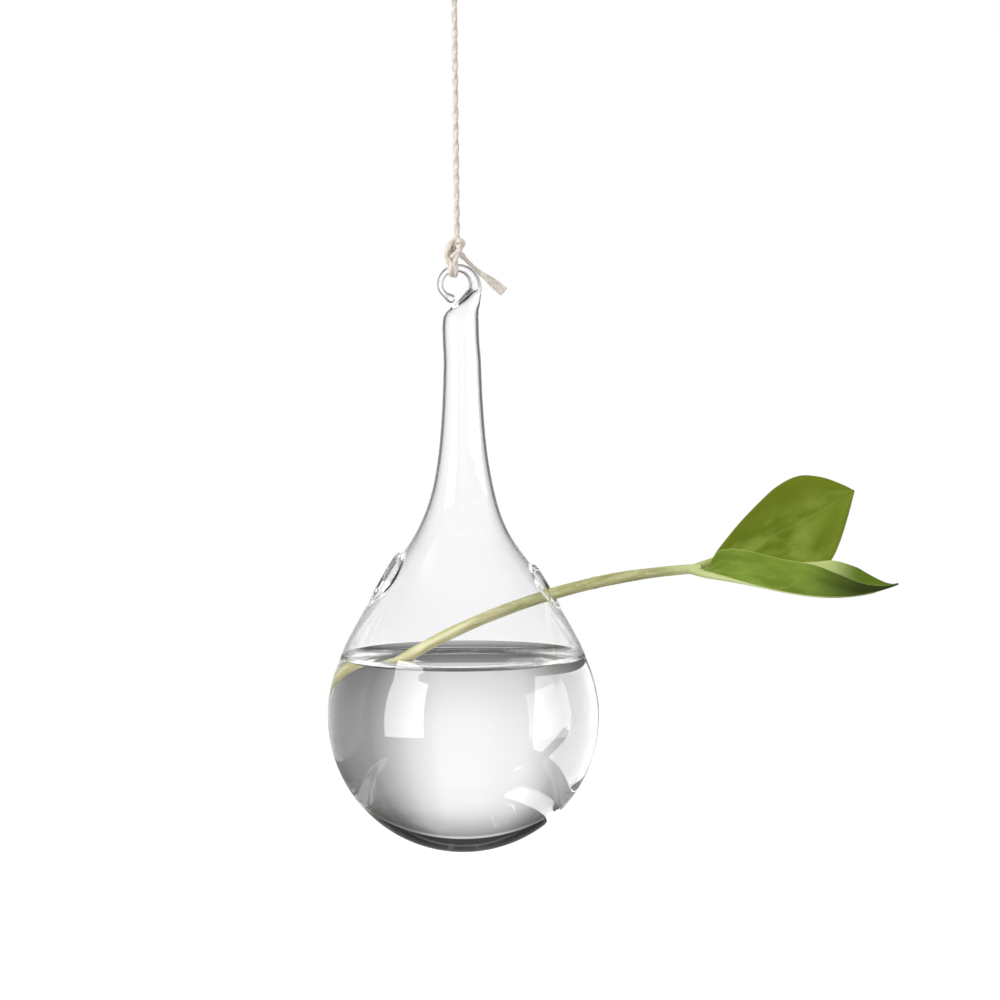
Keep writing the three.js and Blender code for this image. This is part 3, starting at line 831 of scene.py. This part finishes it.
# A leaf's rib has two radii, and each side a direction and half widths at shares along the midrib.
UPRIGHT_LEAF = {
    "midrib": [(67.5, 0, 43.6), (94, 6, 52.8), (114.9, 7, 66.1)],
    "rib": (1.2, 0.12),
    "bulge": (0.3, 0.9, 0.1),
    "sides": [
        ((0.35, -0.15, -0.925),
         [(0, 0.9), (0.05, 1.9), (0.1, 2.8), (0.28, 6.5), (0.5, 13), (0.655, 14.9), (0.725, 14.3),
          (0.805, 11.1), (0.905, 5.7), (1, 0.1)]),
        ((-0.45, 0.1, 0.89),
         [(0, 0.1), (0.08, 0.2), (0.13, 1.1), (0.18, 2.9), (0.325, 7.1), (0.475, 10.4), (0.615, 12.5),
          (0.75, 12.2), (0.862, 8.6), (0.948, 3.8), (1, 0.1)]),
    ],
    "cup": (0, -0.08, 0),
}
FOLDED_LEAF = {
    "midrib": [(66.5, 0, 43.55), (84, -3, 41.2), (105.5, -8, 30.6), (127.6, -9, 40.2)],
    "rib": (1.28, 0.25),
    "bulge": (0, -0.5, -0.85),
    "sides": [
        ((0, -0.55, 0.84),
         [(0, 0.1), (0.07, 0.8), (0.105, 2), (0.14, 6), (0.175, 9), (0.24, 10.8), (0.301, 11.4),
          (0.462, 11.1), (0.624, 11), (0.744, 8), (0.828, 4.7), (0.924, 1.6), (1, 0.1)]),
        ((0, 0.5, 0.86),
         [(0, 0.1), (0.1, 0.8), (0.2, 4), (0.35, 7.5), (0.52, 9.4), (0.624, 10.4), (0.717, 11.2),
          (0.81, 9.05), (0.862, 6.5), (0.95, 1.8), (1, 0.1)]),
    ],
    "cup": (0, 0, 0.03),
}


def leaf_sheet(shape, shares, across):
    """A leaf's middle surface, at shares along it and at -1 to 1 across it."""
    ridge = bezier(shape["midrib"], shares)
    sheet = np.repeat(ridge[:, None, :], len(across), axis=1)
    for (towards, widths), chosen in zip(shape["sides"], (across <= 0, across > 0)):
        curve = spline(widths, steps=12)
        width = np.interp(shares, curve[:, 0], curve[:, 1])
        reach = width[:, None] * np.abs(across[chosen])
        sheet[:, chosen] += reach[..., None] * np.array(towards)
        sheet[:, chosen] += (reach * np.abs(across[chosen]))[..., None] * np.array(shape["cup"])
    return sheet


def leaf_wave(rates, along, across):
    """Waves that run along and across a leaf."""
    return np.sin(rates[0] * along + rates[1] * across)


def leaf_veins(along, across):
    """Strength of the slanted side veins, which fade towards the margin."""
    outer = np.abs(across)
    place = VEINS * (along - VEIN_SLANT * outer) + VEIN_WANDER * leaf_wave(VEIN_RATES, along, across)
    return VEIN_TINT * np.exp(-((place - np.round(place)) / VEIN_WIDTH) ** 2) * smoothstep(*VEIN_FADES, outer)


def add_rib(skin, shape):
    """The midrib under a blade, thick at the stem and fine at the tip."""
    shares = np.linspace(0, RIB_END, num=60)
    thick, thin = shape["rib"]
    radius = thin + (thick - thin) * smoothstep(*RIB_THINS, shares) ** RIB_FALL
    offset = RIB_OFFSET * radius * smoothstep(*RIB_LEAVES, shares)
    line = bezier(shape["midrib"], shares) + offset[:, None] * unit(np.array(shape["bulge"], float))
    turns = ring_turns(count=20)
    rings = sprig_place(tube_rings(line, radius, repeat(turns)))
    skin.tube(rings, [np.tile([share, 0, 1], (len(turns), 1)) for share in shares])


def build_leaf(name, shape, material, node):
    """A leaf blade with side veins in relief, a wavy margin and a rib under it."""
    shares = np.linspace(0, 1, num=120)
    places = np.sin(np.linspace(-math.pi / 2, math.pi / 2, num=97))
    sheet = leaf_sheet(shape, shares, places)
    face_out = unit(np.cross(np.gradient(sheet, axis=0), np.gradient(sheet, axis=1)))
    along, across = np.meshgrid(shares, places, indexing="ij")
    outer = np.abs(across)
    vein = leaf_veins(along, across)
    edge = np.clip(1 + MARGIN_LEFT - outer ** MARGIN_POWER, MARGIN_LEFT, 1)
    half = LEAF_THICKNESS / 2 * np.sqrt(edge)
    relief = VEIN_RELIEF * vein + MARGIN_WAVE * outer ** 2 * leaf_wave(MARGIN_RATES, along, across)
    marks = np.stack([along, across, vein], axis=2)
    skin = Skin()
    layers = []
    for sign in (1, -1):
        points = sheet + (sign * half + relief)[..., None] * face_out
        layers.append([skin.add(sprig_place(row), mark) for row, mark in zip(points, marks)])
        skin.join(layers[-1], closed=False)
    rims = []
    for rows in layers:
        left, right = [row[0] for row in rows], [row[-1] for row in rows]
        rims.append(left + rows[-1][1:] + right[-2::-1] + rows[0][-2:0:-1])
    skin.bridge(*rims)
    add_rib(skin, shape)
    add_piece(name, skin, [material], "sprig", (node,))


# Water.


def stem_distance(points):
    """How far points are from the stem's skin."""
    line = sprig_place(stem_line(np.linspace(-STEM_INSIDE, 0, num=60)))
    gaps = np.linalg.norm(points[:, None, :] - line[None], axis=2).min(axis=1)
    return np.clip(gaps - STEM_RADIUS, 0, None)


def build_water(surface, contact):
    """The water as one closed body whose top climbs the wall and the stem."""
    skin = Skin()
    edge = radius_at(CONTACT_HEIGHT, FINE_INNER)
    near_wall = CLIMB_REACH * np.linspace(0, 1, num=40) ** CLIMB_CROWDING
    gaps = np.r_[near_wall, np.linspace(CLIMB_REACH, edge, num=60)[1:]]
    heights = WATER_LEVEL + sum(height * np.exp(-gaps / length) for height, length in WALL_CLIMB)
    radii = edge - gaps
    radii[0] += WALL_OVERLAP
    loops = []
    for ring in level_rings(np.column_stack([radii, heights])) + VASE:
        climb = STEM_CLIMB[0] * np.exp(-stem_distance(ring) / STEM_CLIMB[1])
        loops.append(skin.add(ring + climb[:, None] * UP))
    skin.join(loops[:-1])
    skin.fan(loops[-2], loops[-1][0])
    below = np.linspace(CONTACT_HEIGHT, WALL - BALL_RADIUS - WALL_OVERLAP, num=60)
    wall = np.column_stack([radius_at(below, FINE_INNER) + WALL_OVERLAP, below])
    wall[-1, 0] = 0
    walls = [loops[0]] + [skin.add(ring + VASE) for ring in level_rings(wall[1:])]
    skin.join(walls[:-1], TOUCHING)
    skin.fan(walls[-2], walls[-1][0], TOUCHING)
    add_piece("water", skin, [surface, contact], "vase", ("water_fill",))


# Twine.


def lay_rope(skin, path, radius=TWINE_RADIUS, start=0.0, lay=LAY, swell=0.0, blunt=False):
    """Two plies laid round each other along a path. The far end swells by a share or is cut blunt."""
    path = resample(np.asarray(path, float), ROPE_STEP)
    along = ROPE_STEP * np.arange(len(path))
    turns = ring_turns(ROPE_SIDES)
    ply = np.sqrt(PLY_RADIUS ** 2 - (PLY_OFFSET * np.sin(turns)) ** 2)
    section = PLY_OFFSET * np.abs(np.cos(turns)) + ply
    ends = along if blunt else np.minimum(along, along[-1] - along)
    rounding = np.sqrt(1 - np.clip(1 - (ends + ROPE_TIP) / radius, 0, 1) ** 2)
    swollen = 1 + swell * smoothstep(*ROPE_SWELLS, along / along[-1])
    size = radius * rounding * (swollen + ROPE_UNEVEN * np.sin(along * UNEVEN_RATE + start))
    reaches = size[:, None, None] * section[:, None]
    twisted = turns + start + (2 * math.pi * along / lay)[:, None]
    skin.tube(tube_rings(path, reaches, twisted), [round_marks(length, turns) for length in along])
    return path


def lay_fuzz(skin, path, count, seed):
    """Loose fibre ends that stand off a rope."""
    chance = np.random.default_rng(seed)
    tangents, sides, others = frames(path)
    shares = np.linspace(0, 1, num=5)[:, None]
    turns = ring_turns(count=3)
    for _ in range(count):
        k = int(chance.integers(2, len(path) - 2))
        turn = chance.uniform(0, 2 * math.pi)
        off = math.cos(turn) * sides[k] + math.sin(turn) * others[k]
        stray = np.cross(tangents[k], off) * chance.normal(scale=0.5)
        bend = unit(stray + tangents[k] * chance.choice([-1, 1]))
        reach = HAIR_LENGTH * chance.uniform(low=0.4, high=1.0)
        lean = HAIR_ALONG * shares * bend + HAIR_OUT * shares ** HAIR_CURVE * off
        hair = path[k] + HAIR_ROOT * TWINE_RADIUS * off + reach * lean
        rings = tube_rings(hair, HAIR_RADIUS * (HAIR_TAPER - shares), repeat(turns))
        skin.tube(rings, [np.tile([k * ROPE_STEP, 0.5, 0.5], (len(turns), 1))] * len(rings))


def build_twine_piece(material, name, paths, body, node, fuzz, seed, **form):
    """A piece of twine along its paths, with so many loose fibres on a millimetre."""
    skin = Skin()
    laid = [lay_rope(skin, path, start=seed + NEXT_TURN * k, **form) for k, path in enumerate(paths)]
    for k, path in enumerate(laid):
        hairs = max(FEWEST_HAIRS, round(len(path) * ROPE_STEP * fuzz))
        lay_fuzz(skin, path, hairs, seed + k)
    return add_piece(name, skin, [material], body, (node,))


def loop_path():
    """The hanging loop, from the knot over the nail and back."""
    foot = KNOT_HIGH[2] - 1
    left = [(-0.9, 0, foot), (-3.1, 0, 0.68 * foot), (-4.7, 0, 0.32 * foot), (-3.4, 0, 0.05 * foot)]
    right = [(-x, y, z) for x, y, z in left[::-1]]
    return spline([*left, (0, 0, 1), *right])


def upper_knot_path():
    """An overhand knot drawn tight under the loop."""
    z = KNOT_MIDDLE
    line = [(0.9, 0.4, z + 2.6), (1.5, -0.9, z + 1.4), (-0.2, -1.7, z + 0.7), (-1.8, -0.6, z + 1.3),
            (-1.2, 1.2, z + 1.0), (0.8, 1.6, z - 0.2), (1.9, 0.1, z - 0.9), (0.6, -1.6, z - 1.5),
            (-1.4, -1.4, z - 1.1), (-1.3, 0.4, z - 1.8), (-0.4, 0.3, z - 2.8), (0, 0, STRAND_HIGH[2])]
    return spline(line)


def upper_tail_path():
    """The short end that leaves the upper knot at the front left."""
    root = KNOT_MIDDLE - 0.3
    line = [(-1.2, -1.8, root + 0.4), (-2.3, -3.1, root - 0.4), (-3.4, -3.8, root - 2.4),
            (-4, -3.7, root - 5.4), (-4.4, -3.5, root - 8.4)]
    return spline(line)


def strand_path():
    """The straight run between the knots."""
    top = 0, 0, STRAND_HIGH[2] + TWINE_RADIUS
    return np.linspace(top, (STRAND_LEAN, 0, STRAND_LOW[2]), num=302)


def hitch_paths():
    """The hitch on the glass rod: standing part, a turn, a slack left leg, the tail's root and a knob."""
    standing = [(0.45, 0.1, 9.6), (0.4, 0, 8.2), (-0.3, 0.4, 6.4), (-1.1, 1, 4.6), (-1.2, 1.4, 2.9),
                (-0.8, 1.8, 1.2)]
    turn = [(-0.2, -1.8, 0.9), (0, -1.9, 2.6), (0.6, -1.8, 4.3), (1.2, -1.4, 5.8), (1.7, -0.2, 7.1),
            (0.9, 1.2, 7.5), (-0.4, 1.4, 7), (-1, 0.9, 6), (-0.2, 0.3, 4.8)]
    leg = [(0.4, 0.9, 8), (-0.7, 0, 7.8), (-1.9, -0.5, 6.6), (-2.5, -0.8, 4.9), (-2.5, -1, 3.1),
           (-1.9, -1.4, 1.6), (-1.35, -1.8, 0.5)]
    root = [(-1, -1.3, 2.6), (-0.5, -1.9, 3.6), (0.5, -1.7, 4.4), (1.6, -0.2, 3.9), (2.6, 0.9, 2.7)]
    knob = [(0.2, -0.7, 7.3), (1, -1.2, 7.9), (1.9, -0.8, 7.5), (1.8, -0.6, 6.6), (0.9, -1.1, 6.3),
            (0.3, -0.8, 6.8)]
    return [spline(line) + ROD for line in (standing, turn, leg, root, knob)]


def bight_paths():
    """Two half turns side by side under the glass rod."""
    angles = np.linspace(0, math.pi, num=24)
    y, z = -BIGHT_RADIUS * np.cos(angles), -BIGHT_RADIUS * np.sin(angles)
    paths = []
    for x in (-1.35, -0.15):
        arc = np.column_stack([np.full_like(y, x), y, z])
        paths.append(np.vstack([[(x, -1.8, 1.6)], arc, [(x, 1.7, 1.8)]]) + ROD)
    return paths


def tail_path():
    """The cut end that hangs out to the right behind the hook."""
    line = [(1, -0.5, 4.3), (3.2, 1.5, 2.1), (6, 3.2, -0.7), (9.4, 4.4, -3.2), (14, 5.2, -7.1)]
    return spline(line) + ROD


def build_twine():
    """All the twine, with its straight run on a body of its own."""
    piece = partial(build_twine_piece, twine_material())
    loop = piece("twine_loop", [loop_path()], "hanger", "hanging_loop", fuzz=2.0, seed=11)
    knot = piece("twine_upper_knot", [upper_knot_path()], "hanger", "upper_knot", fuzz=1.5, seed=12)
    end = piece("twine_upper_end", [upper_tail_path()], "hanger", "upper_tail", fuzz=3.0, seed=13)
    strand = piece("twine_run", [strand_path()], "twine", "twine_strand", fuzz=1.6, seed=14)
    tie = piece("twine_hitch", hitch_paths(), "tie", "lower_knot", fuzz=1.2, seed=15)
    bight = piece("twine_bight", bight_paths(), "tie", "hook_bight", fuzz=1.2, seed=16)
    tail = piece("twine_tail_end", [tail_path()], "tie", "twine_tail", fuzz=3.0, seed=17,
                 radius=0.62, lay=24, swell=1.35, blunt=True)


# Stage, in metres.

GLOW_SHARE = 0.6
LAMP_AIM = 0.06
CAMERA_PLACE = 0.0125, -1.0, -0.1197
CAMERA_TARGET = 0.0125, 0, -0.1775
CAMERA_ROLL = math.radians(0.35)
BOUNCES = 128


def build_floor():
    """A pale floor far below, white to the camera but for a soft shadow."""
    bpy.ops.mesh.primitive_circle_add(vertices=96, radius=3, fill_type="NGON", location=(0, 0, -0.6))
    floor = bpy.context.object
    floor.name = "floor"
    material, graph = new_material("floor")
    plain = graph.add("ShaderNodeBsdfDiffuse", {"Color": grey(0.8)})[0]
    glow = graph.add("ShaderNodeEmission", {"Color": grey(1), "Strength": 1.5})[0]
    share = graph.times(graph.add("ShaderNodeLightPath")["Is Camera Ray"], GLOW_SHARE)
    graph.show(graph.add("ShaderNodeMixShader", {0: share, 1: plain, 2: glow})[0])
    floor.data.materials.append(material)
    floor.visible_transmission = False
    floor.visible_glossy = False


# Brightness of the studio by degrees aside of the way to the back or the front, and by degrees above level.
ASIDE_LEVELS = [(-90, 0.85), (-83, 0.85), (-73, 0.4), (-62, 0.3), (-45, 0.3), (-25, 0.5), (-14, 0.92),
                (-4, 1), (4, 1), (6, 0.92), (10, 0.8), (13, 0.65), (17.5, 0.48), (22.5, 0.34), (30, 0.31),
                (45, 0.28), (62, 0.28), (73, 0.4), (83, 0.85), (90, 0.85)]
HEIGHT_LEVELS = [(-90, 0.8), (-66, 0.8), (-60, 0.1), (-47.5, 0.1), (-46, 1), (-42.5, 1), (-41, 0.15),
                 (-30, 0.3), (-20, 0.55), (-15, 0.75), (-10, 0.88), (-6, 0.95), (0, 1), (8, 1), (13.5, 0.95),
                 (18, 0.84), (22.5, 0.64), (29, 0.42), (31.5, 0.36), (32.2, 0.75), (33.8, 0.75), (34.4, 0.06),
                 (90, 0.05)]
STUDIO_LEVEL = 1.1
# Shares of the studio and of the gathered light that are left when light was mirrored so many times.
MIRROR_LEVELS = [(0, 1), (1, 0.38), (2, 0.38), (3, 0), (8, 0)]
GATHERED_LEVELS = [(0, 0), (2, 0), (3, 0.18), (6, 0.17), (7, 1), (8, 1)]
GATHERED = 2.7
SOFT_LIGHT = 0.58
# Shares of white that show through one wall of dry glass, by degrees aside, and through two walls.
ONE_WALL_LEVELS = [(0, 0), (34, 0), (39, 0.6), (51, 0.6), (56, 0), (90, 0)]
TWO_WALLS_LEVEL = 0.6
WALL_SURFACES = 2


def build_world():
    """White to the camera. To the glass it is a studio, bright behind the vase and darker aside and above.

    Light that was mirrored once or twice is dimmed, and what was mirrored often has the room's mean level.
    Dry glass, seen through one wall or two and not mirrored, shows some of the white behind it.
    """
    world = bpy.data.worlds.new("studio")
    world.use_nodes = True
    bpy.context.scene.world = world
    graph = Graph(world.node_tree)
    x, y, z = graph.split(graph.add("ShaderNodeTexCoord")["Generated"])
    halves = graph.math("DIVIDE", graph.math("ARCTAN2", x, y), math.pi)
    aside = graph.times(graph.math("SUBTRACT", halves, graph.math("ROUND", halves)), 180.0)
    height = graph.times(graph.math("ARCSINE", z), 180 / math.pi)
    steep = graph.rise(graph.math("ABSOLUTE", height), low=52, high=66)
    across = graph.blend(steep, graph.curve(aside, ASIDE_LEVELS), 1.0)
    studio = graph.times(across, graph.curve(height, HEIGHT_LEVELS))
    rays = graph.add("ShaderNodeLightPath")
    mirrored, passed = rays["Glossy Depth"], rays["Transmission Depth"]
    studio = graph.times(graph.times(studio, STUDIO_LEVEL), graph.curve(mirrored, MIRROR_LEVELS))
    below = graph.rise(height, low=48, high=28)
    gathered = graph.times(graph.curve(mirrored, GATHERED_LEVELS), below)
    studio = graph.math("MULTIPLY_ADD", gathered, GATHERED, studio)
    one_wall = graph.curve(graph.math("ABSOLUTE", aside), ONE_WALL_LEVELS)
    two_walls = graph.math("GREATER_THAN", passed, WALL_SURFACES)
    see_through = graph.blend(two_walls, one_wall, TWO_WALLS_LEVEL)
    dry = graph.math("LESS_THAN", passed, 2 * WALL_SURFACES + 1)
    dry = graph.times(dry, graph.math("LESS_THAN", mirrored, 1))
    studio = graph.blend(graph.times(see_through, dry), studio, STUDIO_LEVEL)
    clear = graph.math("MAXIMUM", rays["Is Glossy Ray"], rays["Is Transmission Ray"])
    light = graph.blend(clear, SOFT_LIGHT, studio)
    strength = graph.blend(rays["Is Camera Ray"], light, 1.0)
    surface = graph.add("ShaderNodeBackground", {"Color": grey(1), "Strength": strength})[0]
    graph.show(surface, "ShaderNodeOutputWorld")


def aim(thing, place, target, roll=0.0):
    """Puts a thing at a place with its face towards a target, rolled by an angle."""
    place, target = Vector(place), Vector(target)
    facing = (target - place).to_track_quat("-Z", "Y").to_matrix().to_4x4()
    thing.matrix_world = Matrix.Translation(place) @ facing @ Matrix.Rotation(-roll, 4, "Z")


def studio_place(azimuth, elevation, distance):
    """A point round the ball, by degrees right of the way to the camera and above it."""
    turn, height = math.radians(azimuth), math.radians(elevation)
    way = np.array([math.sin(turn) * math.cos(height), -math.cos(turn) * math.cos(height), math.sin(height)])
    return VASE * MM + distance * way


def build_reflector(name, azimuth, low, high, width, strength):
    """A bright upright panel between two heights from the middle of the ball."""
    mesh = bpy.data.meshes.new(name)
    half = width / 2
    mesh.from_pydata([(-half, low, 0), (half, low, 0), (half, high, 0), (-half, high, 0)], [], [(0, 1, 2, 3)])
    panel = add_object(name, mesh)
    aim(panel, studio_place(azimuth, elevation=0, distance=0.76), VASE * MM)
    material, graph = new_material(name)
    graph.show(graph.add("ShaderNodeEmission", {"Strength": strength})[0])
    mesh.materials.append(material)
    panel.visible_camera = False
    panel.visible_diffuse = False
    panel.visible_shadow = False
    return panel


def build_lamp(name, azimuth, elevation, distance, size, power):
    """A soft lamp that lights the matt pieces."""
    light = bpy.data.lights.new(name, "AREA")
    light.size = size
    light.energy = power
    lamp = add_object(name, light)
    aim(lamp, studio_place(azimuth, elevation, distance), VASE * MM + LAMP_AIM * UP)
    lamp.visible_camera = False
    lamp.visible_glossy = False
    lamp.visible_transmission = False


def build_stage():
    """Floor, surroundings, lamps and the panels that the glass reflects."""
    build_floor()
    build_world()
    build_reflector("left_panel", azimuth=-50, low=-0.153, high=0.48, width=0.49, strength=7.0)
    right = build_reflector("right_panel", azimuth=79, low=-0.18, high=0.28, width=0.64, strength=3.0)
    right.visible_transmission = False
    build_lamp("key_lamp", azimuth=-55, elevation=35, distance=1.2, size=0.7, power=11.5)
    build_lamp("fill_lamp", azimuth=60, elevation=20, distance=1.4, size=0.9, power=4.0)


def build_camera():
    """The photo's viewpoint."""
    camera = add_object("camera", bpy.data.cameras.new("camera"))
    camera.data.sensor_width = 36
    camera.data.lens = 122.6
    aim(camera, CAMERA_PLACE, CAMERA_TARGET, CAMERA_ROLL)
    bpy.context.scene.camera = camera


def set_render():
    """Plain colours, and enough bounces for light to pass all the glass."""
    scene = bpy.context.scene
    scene.view_settings.view_transform = "Standard"
    scene.cycles.max_bounces = BOUNCES
    scene.cycles.transmission_bounces = BOUNCES
    scene.cycles.glossy_bounces = BOUNCES
    scene.cycles.blur_glossy = 0
    scene.cycles.caustics_reflective = True
    scene.cycles.caustics_refractive = True


build_camera()
set_render()
build_twine()
build_glass(clear_material("glass", ior=1.5), clear_material("wet_glass", ior=1.125))
build_water(clear_material("water", ior=1.333), clear_material("water_contact", ior=1.0, clearness=0.93))
build_stem(stem_material())
upright = leaf_material("upright_leaf", UPRIGHT_TONES, crease=0.2)
folded = leaf_material("folded_leaf", FOLDED_TONES, crease=0.35)
build_leaf("upright_blade", UPRIGHT_LEAF, upright, "upright_leaf")
build_leaf("folded_blade", FOLDED_LEAF, folded, "folded_leaf")
build_stage()
